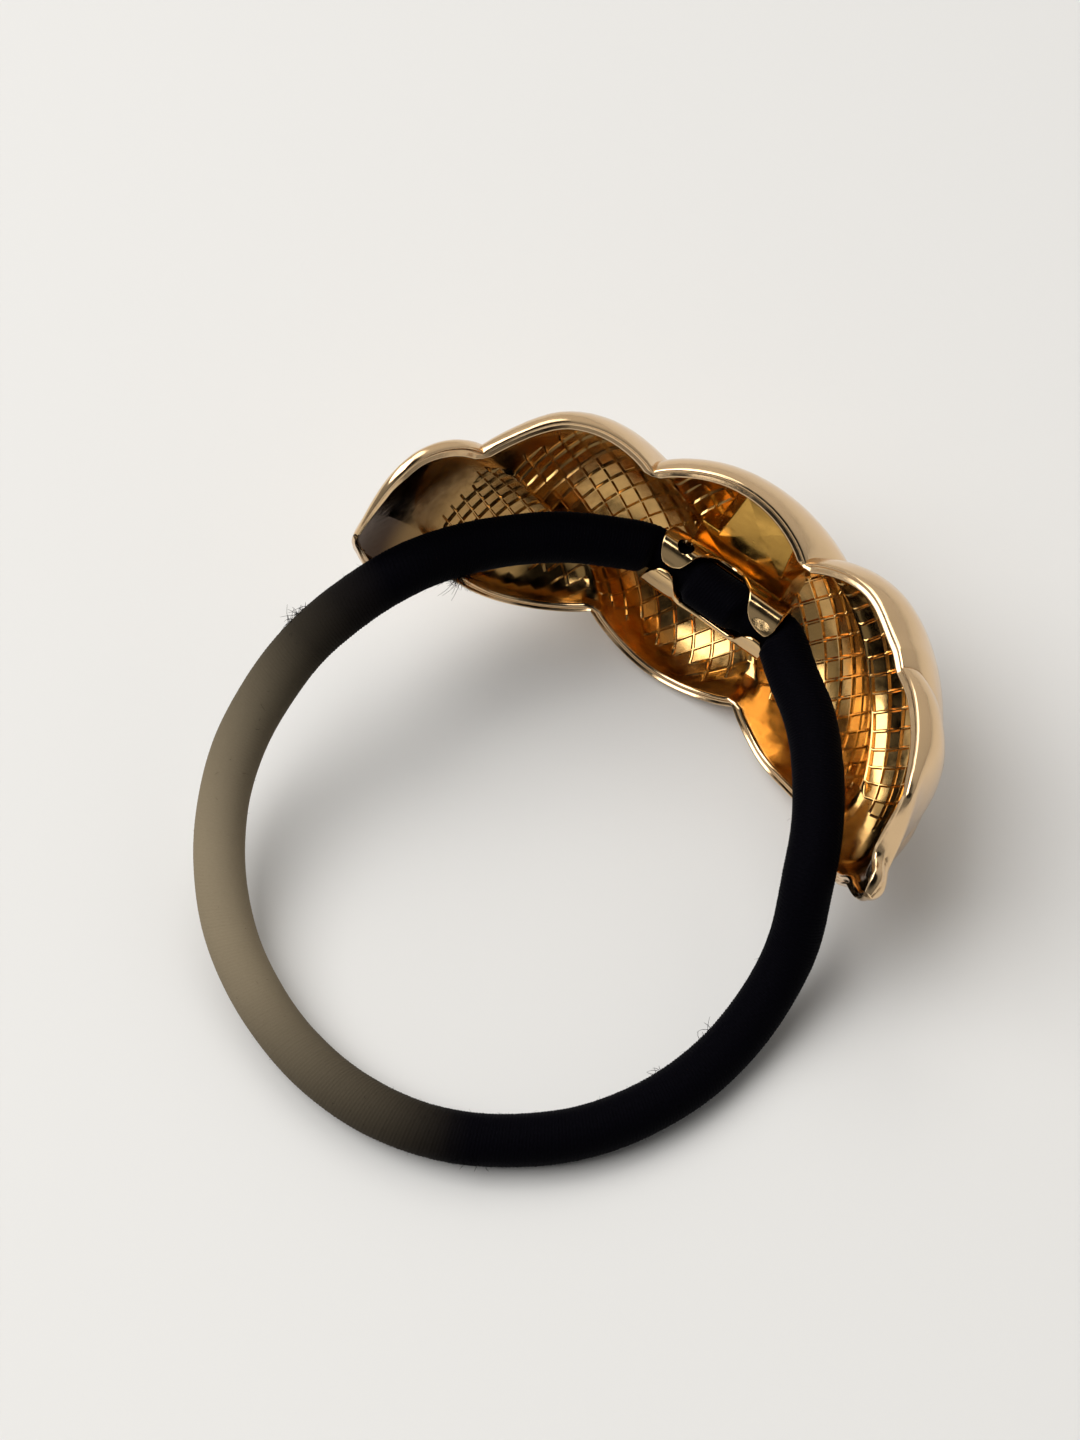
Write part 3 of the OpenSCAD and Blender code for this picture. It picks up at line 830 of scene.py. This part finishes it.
def outline(corners, n):
    """Closed outline with n points to a side."""
    c = np.array(corners, float)
    share = np.linspace(0, 1, n, endpoint=False)[:, None]
    return np.concatenate([a + (b - a) * share for a, b in zip(c, np.roll(c, -1, 0))])


def reach_of_wall(start, end):
    """Share of the way from start to end at which a side has run far enough into the wall."""
    low, high = 0.0, 1.0
    for _ in range(30):
        mid = (low + high) / 2
        if wall_depth(*(start + (end - start) * mid)) > FOOT_DEPTH:
            high = mid
        else:
            low = mid
    return high


def build_pad(name, top, foot, level, round_off, material):
    """A raised block with a level top, a rounded edge and flared sides that run into the cuff's wall."""
    t, g = outline(top, SIDE_POINTS), outline(foot, SIDE_POINTS)
    count = len(t)
    middle = t.mean(0)
    inward = unit(middle - t)
    rings = []
    for angle in EDGE_STEPS:
        drop = round_off * (1 - math.cos(math.radians(angle)))
        back = round_off * (1 - math.sin(math.radians(angle)))
        rings.append(np.column_stack([t + inward * back, np.full(count, level - drop)]))
    start = rings[-1]
    end = np.column_stack([g, np.full(count, FOOT_LEVEL)])
    reach = np.array([reach_of_wall(a, b) for a, b in zip(start, end)])
    for share in SIDE_STEPS:
        rings.append(start + (end - start) * (reach * share)[:, None])
    points = np.concatenate(rings + [np.array([[middle[0], middle[1], level]])])
    faces = []
    for r in range(len(rings) - 1):
        for k in range(count):
            w = (k + 1) % count
            faces.append((r * count + k, r * count + w, (r + 1) * count + w, (r + 1) * count + k))
    centre = len(points) - 1
    faces += [(k, (k + 1) % count, centre) for k in range(count)]
    last = (len(rings) - 1) * count
    faces.append(tuple(range(last, last + count))[::-1])
    piece = make(name, in_bridge(points), faces, material)
    shade(piece, sharp=30)
    return piece


# Bridge

# the two edges of the sheet as angles round the elastic, by the place along the bridge
FAR_EDGE = [
    (-6.2, 8), (-5.95, 25), (-5.5, 46), (-4.9, 60), (-4.2, 60), (-3.5, 50), (-3.1, 34), (-2.7, 14),
    (-1.9, -5), (-1, -25), (0, -32), (0.9, -24), (1.8, -5), (2.4, 8), (2.8, 22), (3.4, 45), (4.1, 61),
    (4.9, 70), (5.6, 72), (6, 60), (6.2, 38)]
NEAR_EDGE = [
    (-6.2, 160), (-5.95, 135), (-5.5, 98), (-4.9, 76), (-4.2, 73), (-3.5, 82), (-3.1, 104), (-2.7, 142),
    (-1.9, 160), (-1, 165), (0, 166), (1.8, 163), (2.8, 159), (3.4, 149), (4.1, 108), (4.9, 95), (5.6, 96),
    (6, 108), (6.2, 135)]
# reach of the rounding of the sheet's edges, and the stretch of the mesh along and round it that is finer
EDGE_ROUND = 0.2
EDGE_ALONG = 0.045
EDGE_ROUND_IT = 0.035
# points between those stretches, along and round the sheet
SHEET_ALONG = 95
SHEET_ROUND_IT = 72
# how far the walls stand off the bore, and how far a lug's top lies inside of them
WALL_GAP = 0.2
LUG_IN = 0.97
# distance of points of the sheet's rounded edges that are joined, in metres
JOINED = 2e-7


def wrap_radius(a):
    """Middle of the sheet: the walls stand off the elastic and the lugs press into it."""
    return BORE + WALL_GAP + BRIDGE_WALL / 2 - LUG_IN * smoother((sin_d(a) - 0.05) / 0.9)


# cutters of the openings: place along the bridge, tilt, start from the axis, two half sizes, widening
HOLE = (-3.85, 8, 0.5, 0.75, 0.66, 1.05)
RECESS = (5.1, 48, wrap_radius(90) + 0.1, 0.85, 0.38, 1.25)
CUTTER_LENGTH = 4


def sheet_places(low, high, edge, count):
    """Places from low to high, with six closer ones at each end for the rounded edge."""
    near = edge * (1 - np.cos(np.linspace(0, np.pi / 2, 7)[:-1]))
    return np.concatenate([low + near, np.linspace(low + edge, high - edge, count), (high - near)[::-1]])


def rounding(from_edge):
    """How thick the sheet is at a distance from its edge, as a part of its thickness."""
    return np.sqrt(1 - np.clip(1 - from_edge / EDGE_ROUND, 0, 1) ** 2)


def cut_oval(piece, x, tilt, start, half_x, half_y, widening):
    """Takes an oval opening out of the piece, which runs outwards from the elastic."""
    bm = bmesh.new()
    bmesh.ops.create_cone(bm, cap_ends=True, segments=40, radius1=1, radius2=widening, depth=CUTTER_LENGTH)
    for p in bm.verts:
        p.co = Vector((p.co.x * half_x, p.co.y * half_y, p.co.z + CUTTER_LENGTH / 2 + start)) * MM
    turn = Matrix.Rotation(math.radians(tilt), 4, "X") @ Matrix.Rotation(math.radians(-90), 4, "X")
    bmesh.ops.transform(bm, matrix=Matrix.Translation((x * MM, 0, 0)) @ turn, verts=bm.verts)
    mesh = bpy.data.meshes.new("cutter")
    bm.to_mesh(mesh)
    bm.free()
    cutter = bpy.data.objects.new("cutter", mesh)
    scene.collection.objects.link(cutter)
    mod = piece.modifiers.new("cut", "BOOLEAN")
    mod.operation = "DIFFERENCE"
    mod.solver = "EXACT"
    mod.object = cutter
    apply_modifiers(piece)
    bpy.data.objects.remove(cutter)


def build_bridge(material):
    """The bent sheet, in its own frame until its openings are cut."""
    x = sheet_places(-1, 1, EDGE_ALONG, SHEET_ALONG)
    fine = np.linspace(-1, 1, 401)
    far, near = (np.interp(x, fine, softened(SmoothTable(table)(BRIDGE_HALF * fine), 5))
                 for table in (FAR_EDGE, NEAR_EDGE))
    near = near - 360
    g = sheet_places(0, 1, EDGE_ROUND_IT, SHEET_ROUND_IT)
    a = near[:, None] + (far - near)[:, None] * g[None, :]
    # distances from the sheet's edges, round the elastic as at 2.1 mm from its axis
    from_side = np.minimum(g, 1 - g)[None, :] * np.radians(far - near)[:, None] * 2.1
    from_end = (1 - np.abs(x))[:, None] * BRIDGE_HALF
    thin = rounding(from_side) * rounding(from_end)
    sheets = []
    for sign, floor in ((1, BORE + BRIDGE_WALL), (-1, BORE)):
        r = wrap_radius(a) + sign * BRIDGE_WALL / 2 * thin
        along = np.broadcast_to(BRIDGE_SHIFT + BRIDGE_HALF * x[:, None], r.shape)
        sheets.append(np.stack([along, r * cos_d(a), np.maximum(r * sin_d(a), -floor)], -1))
    points = np.concatenate([p.reshape(-1, 3) for p in sheets])
    top = grid_faces(np.arange(a.size).reshape(a.shape))
    faces = top.tolist() + (top[:, ::-1] + a.size).tolist()
    piece = make("bridge", points, faces, material)
    turn_outwards(piece, JOINED)
    for opening in (HOLE, RECESS):
        cut_oval(piece, *opening)
    mesh = piece.data
    co = np.zeros(len(mesh.vertices) * 3)
    mesh.vertices.foreach_get("co", co)
    placed = in_bridge(co.reshape(-1, 3) / MM) * MM
    mesh.vertices.foreach_set("co", placed.reshape(-1))
    mesh.update()
    shade(piece, sharp=40)
    return piece


# Materials: colours are linear, and a pair of them is what a noise runs between

# dark brown of the painted shade and painted reflection at the hollow's two ends
PAINTED_SHADE_BROWN = (0.07, 0.032, 0.01, 1)
BLACK_THREAD = ((0.0003, 0.0003, 0.0008), (0.0022, 0.0019, 0.0036))
FADED_THREAD = ((0.225, 0.181, 0.119), (0.251, 0.205, 0.137))
LOOSE_THREAD = (0.002, 0.002, 0.003, 1)
TABLE_COLOUR = (0.735, 0.73, 0.72, 1)


def new_material(name):
    mat = bpy.data.materials.new(name)
    mat.use_nodes = True
    return mat, mat.node_tree, mat.node_tree.nodes["Principled BSDF"]


def fill(tree, node, inputs):
    """Puts plain values or other nodes' outputs into a node's inputs."""
    for key, value in inputs.items():
        if isinstance(value, bpy.types.NodeSocket):
            tree.links.new(value, node.inputs[key])
        else:
            node.inputs[key].default_value = value
    return node


def add_node(tree, kind, inputs, **settings):
    node = tree.nodes.new(kind)
    for key, value in settings.items():
        setattr(node, key, value)
    return fill(tree, node, inputs)


def noise(tree, coords, scale, detail, roughness):
    """Noise, whose scale is in waves to a unit of the coordinates."""
    inputs = {"Vector": coords, "Scale": scale, "Detail": detail, "Roughness": roughness}
    return add_node(tree, "ShaderNodeTexNoise", inputs).outputs["Fac"]


def ramp(tree, source, stops):
    """Colour by the source's value: rows of value and colour."""
    n = add_node(tree, "ShaderNodeValToRGB", {"Fac": source})
    e = n.color_ramp.elements
    while len(e) < len(stops):
        e.new(0.5)
    for k, (place, colour) in enumerate(stops):
        e[k].position = place
        e[k].color = (*colour, 1)
    return n.outputs["Color"]


def mix(tree, factor, a, b, blend="MIX"):
    inputs = {"Factor": factor, "A": a, "B": b}
    return add_node(tree, "ShaderNodeMix", inputs, data_type="RGBA", blend_type=blend).outputs["Result"]


def bump(tree, height, strength, distance, under=None):
    """Bumps, laid over those of under."""
    inputs = {"Height": height, "Strength": strength, "Distance": distance}
    if under is not None:
        inputs["Normal"] = under
    return add_node(tree, "ShaderNodeBump", inputs).outputs["Normal"]


def point_value(tree, name):
    return add_node(tree, "ShaderNodeAttribute", {}, attribute_name=name).outputs["Fac"]


def gold(name, base, roughness, waves=0.25, with_painted_end_shade=False):
    """Polished gold-tone casting."""
    mat, tree, shader = new_material(name)
    place = tree.nodes.new("ShaderNodeTexCoord").outputs["Object"]
    shadow = tuple(c * 0.93 for c in base)
    tone = noise(tree, place, scale=90, detail=4, roughness=0.6)
    colour = ramp(tree, tone, [(0.35, shadow), (0.65, base)])
    # painted shade and painted reflection of the black elastic: the gold turns dark brown towards the
    # hollow's two ends
    if with_painted_end_shade:
        colour = mix(tree, point_value(tree, "painted_shade_share"), colour, PAINTED_SHADE_BROWN)
    # polishing marks vary the gloss
    marks = noise(tree, place, scale=700, detail=5, roughness=0.65)
    gloss = ramp(tree, marks, [(0.3, (roughness * 0.6,) * 3), (0.7, (roughness * 1.5,) * 3)])
    # the casting's slow waves and its fine grain
    slow = noise(tree, place, scale=420, detail=2, roughness=0.5)
    fine = noise(tree, place, scale=5200, detail=3, roughness=0.6)
    cast = bump(tree, slow, strength=waves, distance=0.00012)
    grain = bump(tree, fine, strength=0.12, distance=0.00001, under=cast)
    fill(tree, shader, {"Metallic": 1.0, "Base Color": colour, "Roughness": gloss, "Normal": grain})
    return mat


def plain_thread(name):
    mat, tree, shader = new_material(name)
    fill(tree, shader, {"Base Color": LOOSE_THREAD, "Roughness": 0.7, "Specular IOR Level": 0.015})
    return mat


def wound_thread(name):
    """Thread cover with fine fibres round the elastic, black, or faded to a greyish tan."""
    mat, tree, shader = new_material(name)
    uv = add_node(tree, "ShaderNodeUVMap", {}, uv_map="UVMap").outputs["UV"]
    stretch = add_node(tree, "ShaderNodeMapping", {"Vector": uv, "Scale": (1.0, 0.12, 1.0)})
    fibre = noise(tree, stretch.outputs["Vector"], scale=3800, detail=3, roughness=0.6)
    fresh, old = (ramp(tree, fibre, [(0.3, low), (0.7, high)]) for low, high in (BLACK_THREAD, FADED_THREAD))
    fill(tree, shader, {
        "Base Color": mix(tree, point_value(tree, "faded"), fresh, old),
        "Roughness": 0.7,
        "Specular IOR Level": 0.015,
        "Sheen Weight": 0.02,
        "Sheen Roughness": 0.4,
        "Sheen Tint": (0.8, 0.82, 0.9, 1),
        "Normal": bump(tree, fibre, strength=0.5, distance=0.00004)})
    return mat


# Setting: pale table, soft window light, in metres

TABLE_HALF = 3.0
WINDOW_PLACE = (-0.42, -0.22, 0.75)
WINDOW_SIZE = 0.75
WINDOW_POWER = 7.3
WINDOW_COLOUR = (1.0, 0.99, 0.97)
# what surrounds the object: a direction, then the colour by how near it is, from 0 to 1
SKY = ((-0.3, 0.9, 0.3), [(0.1, (0.2, 0.2, 0.2)), (0.65, (0.4, 0.395, 0.385)), (0.95, (0.62, 0.6, 0.57))])
PANE = ((-0.3, 0.5, 0.81), [(0.976, (0, 0, 0)), (0.981, (2.4, 2.35, 2.25))])
# a dark patch above, which the bottom of the hollow reflects
CARD = ((0.23, -0.364, 0.903), [(0.88, (1, 1, 1)), (0.935, (0.03, 0.03, 0.03))])


def add_table():
    mat, tree, shader = new_material("table")
    fill(tree, shader, {"Base Color": TABLE_COLOUR, "Roughness": 0.9, "Specular IOR Level": 0.2})
    mesh = bpy.data.meshes.new("table_top")
    r = TABLE_HALF
    mesh.from_pydata([(-r, -r, 0), (r, -r, 0), (r, r, 0), (-r, r, 0)], [], [(0, 1, 2, 3)])
    mesh.materials.append(mat)
    top = bpy.data.objects.new("table_top", mesh)
    scene.collection.objects.link(top)


def add_world():
    world = bpy.data.worlds.new("studio")
    scene.world = world
    world.use_nodes = True
    tree = world.node_tree
    coord = tree.nodes.new("ShaderNodeTexCoord").outputs["Generated"]

    def facing(direction, stops):
        inputs = {0: coord, 1: Vector(direction).normalized()}
        dot = add_node(tree, "ShaderNodeVectorMath", inputs, operation="DOT_PRODUCT").outputs["Value"]
        share = add_node(tree, "ShaderNodeMath", {0: dot, 1: 0.5, 2: 0.5}, operation="MULTIPLY_ADD")
        return ramp(tree, share.outputs["Value"], stops)

    sky, pane, card = (facing(*part) for part in (SKY, PANE, CARD))
    lit = mix(tree, 1.0, sky, pane, "ADD")
    both = mix(tree, 1.0, lit, card, "MULTIPLY")
    fill(tree, tree.nodes["Background"], {"Color": both, "Strength": 1.0})


def add_window():
    light = bpy.data.lights.new("window", "AREA")
    light.shape = "SQUARE"
    light.size = WINDOW_SIZE
    light.energy = WINDOW_POWER
    light.color = WINDOW_COLOUR
    window = bpy.data.objects.new("window", light)
    scene.collection.objects.link(window)
    window.location = WINDOW_PLACE
    window.rotation_euler = (-Vector(WINDOW_PLACE)).to_track_quat("-Z", "Y").to_euler()


# The parts

add_camera()
ring = Ring()
elastic = build_elastic(ring, wound_thread("black_thread"))
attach(elastic, "root")
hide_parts("elastic_cord")
fuzz = build_fuzz(ring, plain_thread("loose_thread"))
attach(fuzz, "root")

outside_gold = gold("outside_gold", (0.77, 0.54, 0.31), roughness=0.16)
# the inside carries the painted shade and painted reflection at the hollow's two ends
inside_gold = gold("inside_gold", (0.71, 0.435, 0.16), roughness=0.18, with_painted_end_shade=True)
# the socket's gold is a darker, browner copy of the inside's: painted shade and painted reflection of the
# brown hollow around it
socket_gold_painted_shade = gold("socket_gold_painted_shade", (0.68, 0.39, 0.09), roughness=0.2)
bridge_gold = gold("bridge_gold", (0.84, 0.57, 0.28), roughness=0.1, waves=0.35)
cuff = build_cuff(outside_gold, inside_gold)
seat = build_pad("socket_seat", SEAT_TOP, SEAT_FOOT, -SEAT, SEAT_ROUND, socket_gold_painted_shade)
lip = build_pad("socket_lip", LIP_TOP, LIP_FOOT, LIP_LEVEL, LIP_ROUND, socket_gold_painted_shade)
for piece in (cuff, seat, lip):
    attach(piece, "root")
    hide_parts("cuff_shell")
bridge = build_bridge(bridge_gold)
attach(bridge, "root")
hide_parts("crimp_bridge")
add_table()
add_world()
add_window()
scene.view_settings.view_transform = "Standard"
